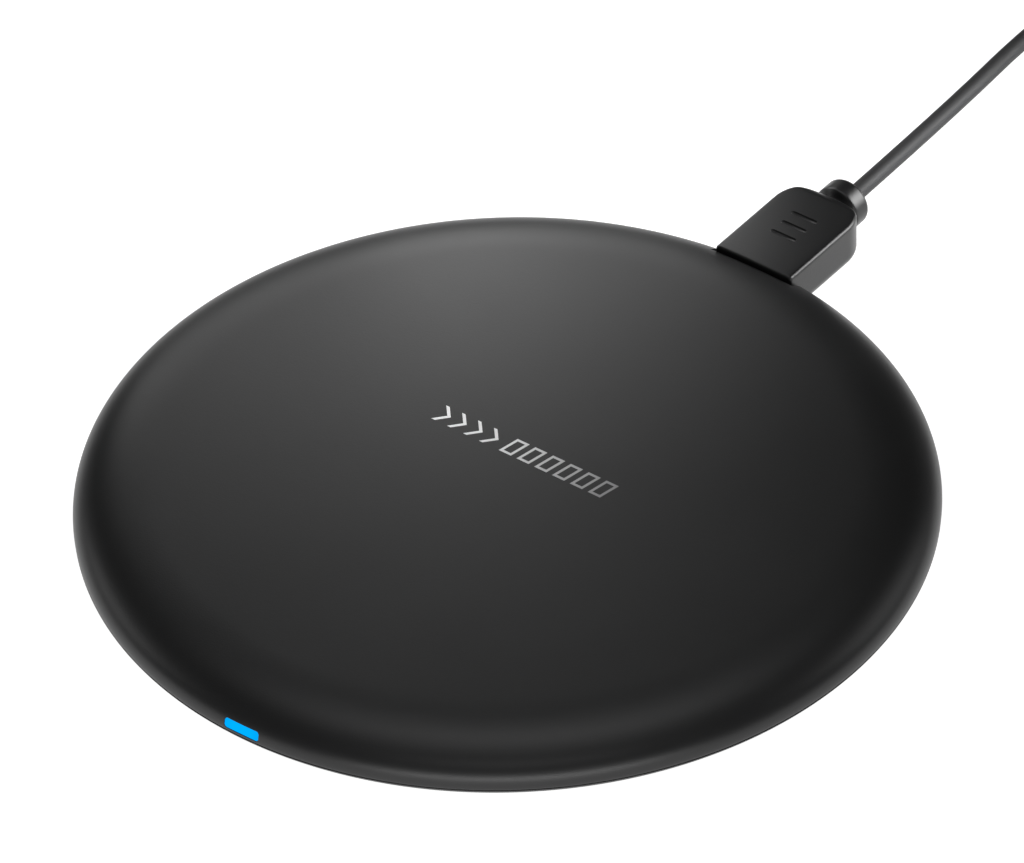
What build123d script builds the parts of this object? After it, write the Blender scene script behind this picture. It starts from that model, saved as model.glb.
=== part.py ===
from build123d import *
import math
import os

# ---------------------------------------------------------------------------
# Round wireless charging pad with its pull-out micro-B lead.
# Millimetres.  +Z is up, the pad stands on z = 0 with its centre on the
# origin, +Y points at the lead, the status light faces -Y.
# ---------------------------------------------------------------------------

# ---- driving dimensions: case
PAD_R = 50.0            # outside radius of the case
TOP_Z = 7.6             # flat top
BASE_Z = 0.6            # underside of the case, the foot stands below it
EQ_Z = 3.2              # height of the widest line of the rim
SPLIT_Z = 2.9           # parting line between the two covers
FLAT_R = 40.0           # radius of the flat top and of the flat underside
WALL = 1.2              # wall thickness
LIP_R0, LIP_R1 = 47.2, 48.2   # locating lip on the bottom cover
LIP_TOP = 3.9

# ---- driving dimensions: port and notch
PORT_X = 0.35           # port and plug sit this far off the middle line
PORT_Z = 3.95           # middle height of port and plug
NOTCH_Y = 47.2          # flat face sunk into the rim
NOTCH_HALF = 5.95
PORT_WALL_Y = 46.0      # inner face of the wall behind the notch
PORT_WALL_HALF = 7.4

# ---- driving dimensions: status light
LIGHT_X, LIGHT_W, LIGHT_Z0, LIGHT_Z1, LIGHT_R = 0.8, 4.8, 3.3, 4.55, 0.4

# ---- driving dimensions: inner stack
BOARD_Z0, BOARD_Z1, BOARD_R = 3.1, 4.1, 44.0
TAPE_Z1 = 4.25
FERRITE_Z1, FERRITE_R = 5.05, 25.0
COIL_Z1 = 6.25
COIL_R_IN, COIL_R_OUT, COIL_TURNS = 10.5, 24.2, 10
ROOF_Z = TOP_Z - WALL
CASE_SCREW_R, CASE_SCREW_ANGLES = 36.0, (45, 135, 225, 315)
BOARD_SCREW_R, BOARD_SCREW_ANGLES = 31.0, (10, 170, 285)
FOOT_R0, FOOT_R1, FOOT_SEAT_Z = 33.0, 39.0, 1.1

# ---- driving dimensions: micro-B plug
PLUG_FRONT_Y = 47.5     # front face of the moulded body
PLUG_W, PLUG_H = 11.0, 6.3
PLUG_R_TOP, PLUG_R_LOW = 0.5, 1.8   # long edges: crisp above, soft below
SHOULDER_Y, BODY_END_Y = 59.3, 63.3   # shoulders start, rear of the flat body
SHOULDER_X = 3.25       # width of each shoulder
COLLAR_Y0, COLLAR_Y1 = 64.35, 66.95
COLLAR_R, NECK_R = 3.05, 2.2
SHELL_W, SHELL_H, SHELL_T = 6.85, 1.80, 0.25
SHELL_TIP_Y = 41.9

# ---- driving dimensions: lead
CORD_D = 2.1
COIL_C = (-15.0, 150.0)             # middle of the put-away coil
COIL_COLS = (14.1, 12.0, 9.9)       # radii of the turns
COIL_ROWS = (1.75, 3.85, 5.95, 8.05)  # heights of the turns
TIE_T = 0.7                         # thickness of the ties, also below the bundle

# ---- driving dimensions: USB-A plug, lying on the surface beside the coil
A_REAR_X, A_Y, A_Z = 21.0, 135.4, 3.8
A_BODY_L, A_BODY_W, A_BODY_H = 23.0, 15.6, 7.6
A_SHELL_L, A_SHELL_W, A_SHELL_H, A_SHELL_T = 12.0, 12.0, 4.5, 0.3

os.makedirs("parts", exist_ok=True)
NODES = {}


def box(x0, x1, y0, y1, z0, z1):
    """Axis-aligned block between two corners."""
    return Pos((x0 + x1) / 2, (y0 + y1) / 2, (z0 + z1) / 2) * Box(x1 - x0, y1 - y0, z1 - z0)


def rod(x, y, z0, z1, r):
    """Upright cylinder."""
    return Pos(x, y, (z0 + z1) / 2) * Cylinder(r, z1 - z0)


def tube_ring(r0, r1, z0, z1):
    """Upright annulus about the pad's axis."""
    return rod(0, 0, z0, z1, r1) - rod(0, 0, z0 - 1, z1 + 1, r0)


def polar(r, deg):
    return r * math.cos(math.radians(deg)), r * math.sin(math.radians(deg))


def lens_body(r_flat, z_low, z_high, z_mid, reach, reach_low=None):
    """Disc of revolution: flat top and bottom, elliptical rims."""
    reach_low = reach if reach_low is None else reach_low
    up = EllipticalCenterArc((r_flat, z_mid), reach, z_high - z_mid, start_angle=0, arc_size=90)
    low = EllipticalCenterArc((r_flat, z_mid), reach_low, z_mid - z_low, start_angle=270, arc_size=90)
    edges = [Line((0, z_low), (r_flat, z_low)), low]
    if abs(reach_low - reach) > 1e-6:
        edges.append(Line((r_flat + reach_low, z_mid), (r_flat + reach, z_mid)))
    edges += [up, Line((r_flat, z_high), (0, z_high)), Line((0, z_high), (0, z_low))]
    return revolve(Plane.XZ * make_face(edges), Axis.Z)


def y_prism(sketch, y0, y1):
    """Sketch drawn in x and z, extruded from y0 to y1."""
    return extrude(Plane(origin=(0, y0, 0), x_dir=(1, 0, 0), z_dir=(0, -1, 0)) * sketch, amount=-(y1 - y0))


def x_prism(sketch, x0, x1):
    """Sketch drawn in y and z, extruded from x0 to x1."""
    return extrude(Plane(origin=(x0, 0, 0), x_dir=(0, 1, 0), z_dir=(1, 0, 0)) * sketch, amount=x1 - x0)


def keep(name, shape):
    NODES[name] = shape


# ===========================================================================
# Case
# ===========================================================================
outer = lens_body(FLAT_R, BASE_Z, TOP_Z, EQ_Z, PAD_R - FLAT_R)
notch = box(PORT_X - NOTCH_HALF, PORT_X + NOTCH_HALF, NOTCH_Y, 60, -1, 12)
window = y_prism(Pos(PORT_X, PORT_Z) * RectangleRounded(7.9, 3.0, 0.45), 45, 49)
port_block = box(PORT_X - PORT_WALL_HALF, PORT_X + PORT_WALL_HALF, PORT_WALL_Y, 50, BASE_Z, TOP_Z) & outer

# --- top cover: roof, rim, port wall, screw bosses, ring that centres the coil
roof_cavity = lens_body(FLAT_R, EQ_Z - 2.0, ROOF_Z, EQ_Z, PAD_R - FLAT_R - WALL)
below_split = box(-60, 60, -60, 60, -2, SPLIT_Z)
above_split = box(-60, 60, -60, 60, SPLIT_Z, 12)
straight_core = rod(0, 0, SPLIT_Z - 0.5, EQ_Z, PAD_R - WALL)

cavity_top = (roof_cavity & box(-60, 60, -60, 60, EQ_Z, 12)) + straight_core
cavity_top = cavity_top - box(PORT_X - PORT_WALL_HALF, PORT_X + PORT_WALL_HALF, PORT_WALL_Y, 60, -1, 12)
top = outer - below_split - cavity_top
for a in CASE_SCREW_ANGLES:
    bx, by = polar(CASE_SCREW_R, a)
    top = top + rod(bx, by, 3.0, ROOF_Z + 0.2, 2.3)
coil_ring = tube_ring(25.4, 26.2, 5.5, ROOF_Z + 0.2) - box(22, 28, -4, 4, 5.0, ROOF_Z)
top = top + coil_ring
for a in CASE_SCREW_ANGLES:
    bx, by = polar(CASE_SCREW_R, a)
    top = top - rod(bx, by, 2.5, 6.1, 0.9)
light_slot = y_prism(Pos(LIGHT_X, (LIGHT_Z0 + LIGHT_Z1) / 2) * RectangleRounded(LIGHT_W, LIGHT_Z1 - LIGHT_Z0, LIGHT_R), -51, -46)
top = top - notch - window - light_slot
keep("top_cover", top)

# --- bottom cover: floor, rim, lip, standoffs, screw seats, groove for the foot
floor_cavity = lens_body(FLAT_R, BASE_Z + WALL, EQ_Z + 2.0, EQ_Z, 7.2) & box(-60, 60, -60, 60, -1, EQ_Z)
bottom = outer - above_split - floor_cavity
bottom = bottom + tube_ring(LIP_R0, LIP_R1, SPLIT_Z - 0.3, LIP_TOP)
bottom = bottom + (port_block - above_split)
for a in CASE_SCREW_ANGLES:
    bx, by = polar(CASE_SCREW_R, a)
    bottom = bottom + rod(bx, by, 1.5, 3.0, 3.2)
for a in BOARD_SCREW_ANGLES:
    bx, by = polar(BOARD_SCREW_R, a)
    bottom = bottom + rod(bx, by, 1.5, BOARD_Z0, 2.1)
bottom = bottom - box(PORT_X - 8.4, PORT_X + 8.4, 44, 52, SPLIT_Z, 6)
bottom = bottom - box(LIGHT_X - 3.4, LIGHT_X + 3.4, -52, -44, SPLIT_Z, 6)
bottom = bottom - tube_ring(FOOT_R0, FOOT_R1, -1, FOOT_SEAT_Z)
for a in CASE_SCREW_ANGLES:
    bx, by = polar(CASE_SCREW_R, a)
    bottom = bottom - rod(bx, by, 0, 2.1, 1.9) - rod(bx, by, 1.5, 3.5, 1.1)
for a in BOARD_SCREW_ANGLES:
    bx, by = polar(BOARD_SCREW_R, a)
    bottom = bottom - rod(bx, by, 1.4, 4.0, 0.8)
bottom = bottom - notch - window
keep("bottom_cover", bottom)

# --- silicone foot ring pressed into the groove
foot = tube_ring(FOOT_R0 + 0.05, FOOT_R1 - 0.05, 0.0, FOOT_SEAT_Z)
foot = fillet(foot.edges().group_by(Axis.Z)[0], 0.25)
keep("foot_ring", foot)

# --- light pipe of the status light, flush with the rim outside
stem = y_prism(Pos(LIGHT_X, (LIGHT_Z0 + LIGHT_Z1) / 2) * RectangleRounded(LIGHT_W, LIGHT_Z1 - LIGHT_Z0, LIGHT_R), -51, -46.4)
flange = box(LIGHT_X - 2.9, LIGHT_X + 2.9, -46.4, -45.2, LIGHT_Z0, 5.0)
keep("light_pipe", (stem & outer) + flange)

# --- four self-tapping case screws, hidden by the foot
case_screws = []
for a in CASE_SCREW_ANGLES:
    bx, by = polar(CASE_SCREW_R, a)
    s = rod(bx, by, 1.25, 2.1, 1.6) + rod(bx, by, 2.1, 6.0, 0.9)
    s = s - Pos(bx, by, 1.4) * (Box(1.8, 0.4, 0.5) + Box(0.4, 1.8, 0.5))
    case_screws.append(s)
keep("case_screws", Compound(children=case_screws))

# ===========================================================================
# Charging coil stack, glued under the roof
# ===========================================================================
keep("coil_adhesive", tube_ring(11.5, 23.6, COIL_Z1, ROOF_Z))

# flat spiral winding made of half circles whose radius grows each half turn
pitch = (COIL_R_OUT - COIL_R_IN - 0.15) / COIL_TURNS
wire_w = pitch - 0.22
inner_arcs, outer_arcs = [], []
for i in range(2 * COIL_TURNS):
    cx = 0.0 if i % 2 == 0 else pitch / 2
    r0 = COIL_R_IN + i * pitch / 2
    start = 0 if i % 2 == 0 else 180
    inner_arcs.append(CenterArc((cx, 0), r0, start, 180))
    outer_arcs.append(CenterArc((cx, 0), r0 + wire_w, start, 180))
caps = [Line(inner_arcs[0] @ 0, outer_arcs[0] @ 0), Line(inner_arcs[-1] @ 1, outer_arcs[-1] @ 1)]
winding = extrude(Plane(origin=(0, 0, FERRITE_Z1)) * make_face(inner_arcs + outer_arcs + caps), amount=COIL_Z1 - FERRITE_Z1)
keep("charging_coil", winding)

keep("ferrite_sheet", tube_ring(1.8, FERRITE_R, TAPE_Z1, FERRITE_Z1))
keep("ferrite_tape", tube_ring(1.8, 24.0, BOARD_Z1, TAPE_Z1))
keep("thermistor", Pos(0, 0, 5.55) * Sphere(0.75) + rod(-0.35, 0, BOARD_Z1, 5.2, 0.2) + rod(0.35, 0, BOARD_Z1, 5.2, 0.2))

# two lead-outs from the winding down to the board, over the edge of the ferrite
lead_a = FilletPolyline((25.4, 1.4, 5.6), (27.4, 1.8, 5.6), (28.4, 2.4, 4.5), (30.5, 2.6, 4.5), radius=[0.7, 0.7])
lead_b = FilletPolyline((25.4, -1.4, 5.6), (27.4, -1.8, 5.6), (28.4, -2.4, 4.5), (30.5, -2.6, 4.5), radius=[0.7, 0.7])
leads = []
for ln in (lead_a, lead_b):
    leads.append(sweep(Plane(origin=ln @ 0, z_dir=ln % 0) * Circle(0.38), path=ln))
keep("coil_leads", Compound(children=leads))

# ===========================================================================
# Circuit board and what is soldered to it
# ===========================================================================
board = rod(0, 0, BOARD_Z0, BOARD_Z1, BOARD_R)
board = board - box(PORT_X - 4.1, PORT_X + 4.1, 40.7, 50, 2, 6)
for a in CASE_SCREW_ANGLES:
    bx, by = polar(CASE_SCREW_R, a)
    board = board - rod(bx, by, 2, 6, 2.6)
for a in BOARD_SCREW_ANGLES:
    bx, by = polar(BOARD_SCREW_R, a)
    board = board - rod(bx, by, 2, 6, 0.9)
keep("circuit_board", board)

board_screws = []
for a in BOARD_SCREW_ANGLES:
    bx, by = polar(BOARD_SCREW_R, a)
    s = rod(bx, by, BOARD_Z1, 4.9, 1.5) + rod(bx, by, 1.4, BOARD_Z1, 0.8)
    s = s - Pos(bx, by, 4.8) * (Box(1.8, 0.4, 0.5) + Box(0.4, 1.8, 0.5))
    board_screws.append(s)
keep("board_screws", Compound(children=board_screws))

# resilient disc between board and floor, keeps the middle of the pad stiff
keep("board_pad", rod(0, 0, BASE_Z + WALL, BOARD_Z0, 12.0))


def chip(x, y, sx, sy, h, turn=0.0):
    return Pos(x, y, BOARD_Z1 + h / 2) * Rot(0, 0, turn) * Box(sx, sy, h)


chip_body = chamfer(Box(5, 5, 0.85).edges().group_by(Axis.Z)[-1], 0.12)
keep("controller_chip", Pos(-35.6, 10.4, BOARD_Z1 + 0.425) * chip_body)
keep("bridge_mosfets", Compound(children=[chip(-36.5, -2.0, 3.3, 3.3, 0.8), chip(-31.8, -2.0, 3.3, 3.3, 0.8),
                                          chip(-36.5, -6.8, 3.3, 3.3, 0.8), chip(-31.8, -6.8, 3.3, 3.3, 0.8)]))
keep("resonant_capacitors", Compound(children=[chip(-20.0 + 4.4 * i, -31.0, 3.2, 2.5, 1.7) for i in range(4)]))
keep("input_capacitors", Compound(children=[chip(-7.6, 37.4, 1.6, 3.2, 1.6), chip(-10.6, 37.4, 1.6, 3.2, 1.6),
                                            chip(7.6, 37.4, 1.6, 3.2, 1.6)]))
ind = chip(14.0, 34.5, 4.2, 4.2, 1.9) - rod(14.0, 34.5, BOARD_Z1 + 1.6, 8, 1.4)
keep("power_inductor", ind)
keep("crystal", chip(-27.5, 18.0, 3.2, 2.5, 0.75, 30))
keep("chip_resistors", Compound(children=[chip(29.5 + 2.2 * (i % 3), -8.0 - 2.0 * (i // 3), 1.6, 0.8, 0.5) for i in range(9)]))
keep("status_leds", Compound(children=[chip(LIGHT_X - 1.1, -43.2, 1.6, 1.0, 0.8), chip(LIGHT_X + 1.1, -43.2, 1.6, 1.0, 0.8)]))

# ===========================================================================
# Micro-B receptacle, set into a notch of the board
# ===========================================================================
rs_in = make_face(Polyline((-3.5, 0.98), (3.5, 0.98), (3.5, -0.30), (2.75, -0.98), (-2.75, -0.98), (-3.5, -0.30), close=True))
rs_out = make_face(Polyline((-3.8, 1.28), (3.8, 1.28), (3.8, -0.43), (2.87, -1.28), (-2.87, -1.28), (-3.8, -0.43), close=True))
rec_shell = y_prism(Pos(PORT_X, PORT_Z) * rs_out, 40.9, 47.1) - y_prism(Pos(PORT_X, PORT_Z) * rs_in, 40.0, 48.0)
for sx in (-1, 1):
    tab = box(PORT_X + min(sx * 3.6, sx * 5.2), PORT_X + max(sx * 3.6, sx * 5.2), 41.4, 43.0, BOARD_Z1, BOARD_Z1 + 0.3)
    rec_shell = rec_shell + (tab - y_prism(Pos(PORT_X, PORT_Z) * rs_in, 40.0, 48.0))
keep("receptacle_shell", rec_shell)

rear = y_prism(Pos(PORT_X, PORT_Z) * rs_in, 40.9, 41.6)
tongue = rear + box(PORT_X - 1.9, PORT_X + 1.9, 41.5, 45.3, PORT_Z + 0.15, PORT_Z + 0.60)
pins_r = []
for i in range(5):
    px = PORT_X + (i - 2) * 0.65
    pins_r.append(box(px - 0.15, px + 0.15, 40.72, 45.0, PORT_Z + 0.10, PORT_Z + 0.25)
                  + box(px - 0.15, px + 0.15, 40.72, 40.88, PORT_Z + 0.10, BOARD_Z1 + 0.15)
                  + box(px - 0.15, px + 0.15, 39.7, 40.88, BOARD_Z1, BOARD_Z1 + 0.15))
for p in pins_r:
    tongue = tongue - p
keep("receptacle_tongue", tongue)
keep("receptacle_contacts", Compound(children=pins_r))

# ===========================================================================
# Micro-B plug on the lead
# ===========================================================================
ps_out = make_face(Polyline((-3.425, 0.9), (3.425, 0.9), (3.425, -0.28), (2.70, -0.9), (-2.70, -0.9), (-3.425, -0.28), close=True))
ps_in = make_face(Polyline((-3.175, 0.65), (3.175, 0.65), (3.175, -0.17), (2.60, -0.65), (-2.60, -0.65), (-3.175, -0.17), close=True))
plug_shell = y_prism(Pos(PORT_X, PORT_Z) * ps_out, SHELL_TIP_Y, 51.5) - y_prism(Pos(PORT_X, PORT_Z) * ps_in, 40.0, 53.0)
latch_slots = [box(PORT_X + sx * 1.9 - 0.55, PORT_X + sx * 1.9 + 0.55, 43.0, 46.0, PORT_Z - 1.2, PORT_Z - 0.4) for sx in (-1, 1)]
for s in latch_slots:
    plug_shell = plug_shell - s
keep("micro_plug_shell", plug_shell)
latches = [box(PORT_X + sx * 1.9 - 0.4, PORT_X + sx * 1.9 + 0.4, 43.2, 46.0, PORT_Z - 0.9, PORT_Z - 0.65) for sx in (-1, 1)]
keep("micro_plug_latches", Compound(children=latches))

ins = y_prism(Pos(PORT_X, PORT_Z) * ps_in, 42.0, 52.4) - box(PORT_X - 4, PORT_X + 4, 40, 47.2, PORT_Z, 6)
pins_p = []
for i in range(5):
    px = PORT_X + (i - 2) * 0.65
    pins_p.append(box(px - 0.15, px + 0.15, 42.4, 53.0, PORT_Z - 0.12, PORT_Z + 0.04))
for p in pins_p:
    ins = ins - p
keep("micro_plug_insulator", ins)
keep("micro_plug_contacts", Compound(children=pins_p))

# moulded body: rounded block, rounded shoulders, neck and round collar
hw, hx = PLUG_W / 2, PLUG_W / 2 - SHOULDER_X
body_plan = make_face([
    Line((-hw, PLUG_FRONT_Y), (hw, PLUG_FRONT_Y)),
    Line((hw, PLUG_FRONT_Y), (hw, SHOULDER_Y)),
    EllipticalCenterArc((hx, SHOULDER_Y), SHOULDER_X, BODY_END_Y - SHOULDER_Y, start_angle=0, arc_size=90),
    Line((hx, BODY_END_Y), (-hx, BODY_END_Y)),
    EllipticalCenterArc((-hx, SHOULDER_Y), SHOULDER_X, BODY_END_Y - SHOULDER_Y, start_angle=90, arc_size=90),
    Line((-hw, SHOULDER_Y), (-hw, PLUG_FRONT_Y)),
])
block = extrude(Plane(origin=(PORT_X, 0, PORT_Z - PLUG_H / 2)) * body_plan, amount=PLUG_H)
plug_section = Rectangle(PLUG_W, PLUG_H)
plug_section = fillet(plug_section.vertices().group_by(Axis.Y)[-1], PLUG_R_TOP)
plug_section = fillet(plug_section.vertices().sort_by(Axis.Y)[:2], PLUG_R_LOW)
cross = y_prism(Pos(PORT_X, PORT_Z) * plug_section, PLUG_FRONT_Y, BODY_END_Y)
body = block & cross
rear_top = [e for e in body.edges() if e.center().Y > PLUG_FRONT_Y + 11.5 and e.length > 1.0
            and abs(abs(e.center().Z - PORT_Z) - PLUG_H / 2) < 0.05]
try:
    body = fillet(rear_top, 0.9)
except Exception:
    pass
try:
    front_edges = [e for e in body.edges() if abs(e.center().Y - PLUG_FRONT_Y) < 0.01]
    body = fillet(front_edges, 0.3)
except Exception:
    pass
cw = COLLAR_R
collar_profile = make_face([
    Polyline((0, 60.5), (NECK_R, 60.5), (NECK_R, 63.6)),
    Spline((NECK_R, 63.6), (NECK_R + 0.35, 63.9), (COLLAR_R, COLLAR_Y0 + 0.15), tangents=((0.2, 1), (0.15, 1))),
    Line((COLLAR_R, COLLAR_Y0 + 0.15), (COLLAR_R, COLLAR_Y1 - 0.6)),
    RadiusArc((COLLAR_R, COLLAR_Y1 - 0.6), (COLLAR_R - 0.6, COLLAR_Y1), -0.6),
    Line((COLLAR_R - 0.6, COLLAR_Y1), (0, COLLAR_Y1)),
    Line((0, COLLAR_Y1), (0, 60.5)),
])
collar = Pos(PORT_X, 0, PORT_Z) * revolve(collar_profile, Axis.Y)
overmold = body + collar

# stiff inner moulding round the crimped wires
inner = box(PORT_X - 4.1, PORT_X + 4.1, 51.5, 57.5, PORT_Z - 1.9, PORT_Z + 1.9)
inner = fillet(inner.edges().filter_by(Axis.Y), 0.7) + Pos(PORT_X, 59.0, PORT_Z) * Rot(90, 0, 0) * Cylinder(1.8, 3.4)
for p in pins_p:
    inner = inner - p
inner = inner - ins
keep("micro_plug_inner_mould", inner)
overmold = overmold - inner - ins - y_prism(Pos(PORT_X, PORT_Z) * ps_out, 40, 51.5)
for p in pins_p:
    overmold = overmold - p
keep("micro_plug_overmold", overmold)

# ===========================================================================
# Lead: free stretch, put-away coil, tail, USB-A plug
# ===========================================================================
def cord_solid(points, label):
    runs = [(Vector(*points[i + 1]) - Vector(*points[i])).length for i in range(len(points) - 1)]
    radii = []
    for i in range(1, len(points) - 1):
        a = Vector(*points[i]) - Vector(*points[i - 1])
        b = Vector(*points[i + 1]) - Vector(*points[i])
        turn = a.get_angle(b)
        radii.append(0.45 * min(runs[i - 1], runs[i]) / math.tan(math.radians(turn) / 2))
    path = FilletPolyline(*points, radius=radii)
    solid = sweep(Plane(origin=path @ 0, z_dir=path % 0) * Circle(CORD_D / 2), path=path)
    print(label, "length", round(path.length, 2), "runs", [round(r, 1) for r in runs],
          "radii", [round(r, 1) for r in radii],
          "volume ratio", round(solid.volume / (math.pi * CORD_D ** 2 / 4 * path.length), 4))
    return solid, path.length


RUN_POINTS = [(PORT_X, COLLAR_Y1 - 0.05, PORT_Z), (-0.35, 88.0, 3.62), (-1.45, 108.6, 3.40), (-1.6, 129.3, 0.82),
              (COIL_C[0] + COIL_COLS[0], COIL_C[1], COIL_ROWS[0])]
TAIL_POINTS = [(COIL_C[0], COIL_C[1] - COIL_COLS[0], COIL_ROWS[-1]), (-3.6, 135.7, 7.7),
               (6.2, 135.2, 5.2), (A_REAR_X - 3.9, A_Y, A_Z)]
run_solid, run_len = cord_solid(RUN_POINTS, "cord_run")
tail_solid, tail_len = cord_solid(TAIL_POINTS, "cord_tail")

# bundle of twelve turns: three across, four high, as one ring
b_in, b_out = COIL_COLS[-1] - CORD_D / 2, COIL_COLS[0] + CORD_D / 2
b_z0, b_z1 = COIL_ROWS[0] - CORD_D / 2, COIL_ROWS[-1] + CORD_D / 2
section = Pos((b_in + b_out) / 2, (b_z0 + b_z1) / 2) * RectangleRounded(b_out - b_in, b_z1 - b_z0, 1.0)
bundle = Pos(COIL_C[0], COIL_C[1], 0) * revolve(Plane.XZ * section, Axis.Z)
keep("cord_coil", bundle)
keep("cord_run", run_solid - bundle - overmold)
coil_len = 4 * sum(2 * math.pi * r for r in COIL_COLS)
print("lead length", round(run_len + coil_len + tail_len, 1), "coil", round(coil_len, 1))

# two flat ties round the bundle; the coil rests on them
ties = []
for a in (110, 215):
    band = RectangleRounded(b_out - b_in + 2 * TIE_T, b_z1 - b_z0 + 2 * TIE_T, 1.6) - RectangleRounded(b_out - b_in, b_z1 - b_z0, 1.0)
    strap = extrude(Plane(origin=(0, 0, 0), x_dir=(1, 0, 0), z_dir=(0, -1, 0)) * (Pos((b_in + b_out) / 2, (b_z0 + b_z1) / 2) * band),
                    amount=2.5, both=True)
    strap = Pos(COIL_C[0], COIL_C[1], 0) * Rot(0, 0, a) * strap
    ties.append(strap - bundle)
keep("coil_ties", Compound(children=ties))

# USB-A plug
ax0 = A_REAR_X
a_body = box(ax0, ax0 + A_BODY_L, A_Y - A_BODY_W / 2, A_Y + A_BODY_W / 2, A_Z - A_BODY_H / 2, A_Z + A_BODY_H / 2)
a_body = fillet(a_body.edges().filter_by(Axis.Z).group_by(Axis.X)[0], 4.0)
a_body = fillet(a_body.edges().filter_by(Axis.X), 1.2)
a_front = [e for e in a_body.edges() if abs(e.center().X - (ax0 + A_BODY_L)) < 0.01]
a_body = fillet(a_front, 0.4)
relief = Pos(ax0 - 0.6, A_Y, A_Z) * Rot(0, 90, 0) * Cylinder(2.8, 6.8)
relief_edge = relief.edges().group_by(Axis.X)[0]
relief = fillet(relief_edge, 0.6)
a_shell_out = Pos(A_Y, A_Z) * RectangleRounded(A_SHELL_W, A_SHELL_H, 0.4)
a_shell_in = Pos(A_Y, A_Z) * RectangleRounded(A_SHELL_W - 2 * A_SHELL_T, A_SHELL_H - 2 * A_SHELL_T, 0.15)
sx0, sx1 = ax0 + A_BODY_L - 6.0, ax0 + A_BODY_L + A_SHELL_L
a_shell = x_prism(a_shell_out, sx0, sx1) - x_prism(a_shell_in, sx0 - 1, sx1 + 1)
for wy in (-2.9, 2.9):
    a_shell = a_shell - box(sx1 - 7.2, sx1 - 4.7, A_Y + wy - 1.2, A_Y + wy + 1.2, 0, 10)
a_over = a_body + relief
a_over = a_over - x_prism(a_shell_out, sx0, sx1)
keep("usb_a_overmold", a_over)
keep("cord_tail", tail_solid - bundle - (a_body + relief))
keep("usb_a_shell", a_shell)
z_in = A_Z - A_SHELL_H / 2 + A_SHELL_T
a_ins = box(sx0, sx1 - 0.4, A_Y - A_SHELL_W / 2 + A_SHELL_T, A_Y + A_SHELL_W / 2 - A_SHELL_T, z_in, z_in + 1.9)
a_ins = a_ins & x_prism(a_shell_in, sx0, sx1)
a_pins = []
for wy, back in ((-3.5, 1.0), (-1.0, 2.0), (1.0, 2.0), (3.5, 1.0)):
    a_pins.append(box(sx0 + 0.5, sx1 - back, A_Y + wy - 0.5, A_Y + wy + 0.5, z_in + 1.7, z_in + 2.0))
for p in a_pins:
    a_ins = a_ins - p
keep("usb_a_insulator", a_ins)
keep("usb_a_contacts", Compound(children=a_pins))

# ===========================================================================
for name, shape in NODES.items():
    export_step(shape, "parts/" + name + ".step")
    bb = shape.bounding_box()
    print(name, len(shape.solids()), "vol", round(shape.volume, 2),
          [round(v, 2) for v in (bb.min.X, bb.min.Y, bb.min.Z, bb.max.X, bb.max.Y, bb.max.Z)])
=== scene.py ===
import math
import bpy
import bmesh
import numpy as np
from mathutils import Matrix, Vector


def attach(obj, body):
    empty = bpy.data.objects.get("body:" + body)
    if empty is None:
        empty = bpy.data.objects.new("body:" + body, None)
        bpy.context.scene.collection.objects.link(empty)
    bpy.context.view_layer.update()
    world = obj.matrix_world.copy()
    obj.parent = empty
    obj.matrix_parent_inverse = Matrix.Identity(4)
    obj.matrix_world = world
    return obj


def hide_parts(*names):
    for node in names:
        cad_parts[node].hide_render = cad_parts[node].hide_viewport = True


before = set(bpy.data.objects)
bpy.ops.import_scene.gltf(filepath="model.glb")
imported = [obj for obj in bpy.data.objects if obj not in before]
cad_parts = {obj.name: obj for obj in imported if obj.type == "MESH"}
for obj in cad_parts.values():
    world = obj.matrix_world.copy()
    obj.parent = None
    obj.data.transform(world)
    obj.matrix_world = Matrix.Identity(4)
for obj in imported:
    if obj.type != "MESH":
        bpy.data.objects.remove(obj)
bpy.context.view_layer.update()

MM = 0.001
scene = bpy.context.scene
scene.view_settings.view_transform = "Standard"
scene.view_settings.look = "None"
scene.view_settings.exposure = 0.0
scene.view_settings.gamma = 1.0

# ---------------------------------------------------------------- dimensions (mm)
PAD_R, TOP_Z, BASE_Z, EQ_Z, SPLIT_Z, FLAT_R, WALL = 50.0, 7.6, 0.6, 3.2, 2.9, 40.0, 1.2
RIM_P = 2.3
PORT_X, PORT_Z, NOTCH_Y, NOTCH_HALF, PORT_WALL_Y, PORT_WALL_HALF = 0.35, 3.95, 47.2, 5.95, 46.0, 7.4
LIGHT_X, LIGHT_W, LIGHT_Z0, LIGHT_Z1, LIGHT_R = 0.8, 4.8, 3.3, 4.55, 0.4
PLUG_FRONT_Y, PLUG_W, PLUG_H, PLUG_RT, PLUG_RL = 47.5, 11.0, 6.3, 0.5, 1.8
SHOULDER_Y, BODY_END_Y, SHOULDER_X = 59.3, 63.3, 3.25
COLLAR_Y0, COLLAR_Y1, COLLAR_R, NECK_R = 64.35, 66.95, 3.05, 2.2
CORD_D = 2.1
COIL_C, COIL_COLS, COIL_ROWS = (-15.0, 150.0), (14.1, 12.0, 9.9), (1.75, 3.85, 5.95, 8.05)
A_REAR_X, A_Y, A_Z, A_BODY_L, A_BODY_W, A_BODY_H = 21.0, 135.4, 3.8, 23.0, 15.6, 7.6

# ================================================================= camera
CAM_AZ, CAM_EL, CAM_D, CAM_F, CAM_ROLL = math.radians(38.62), math.radians(39.77), 1000.0, 8638.3, math.radians(-1.958)
CAM_T = (-5.351, 7.994, 5.0)


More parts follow.
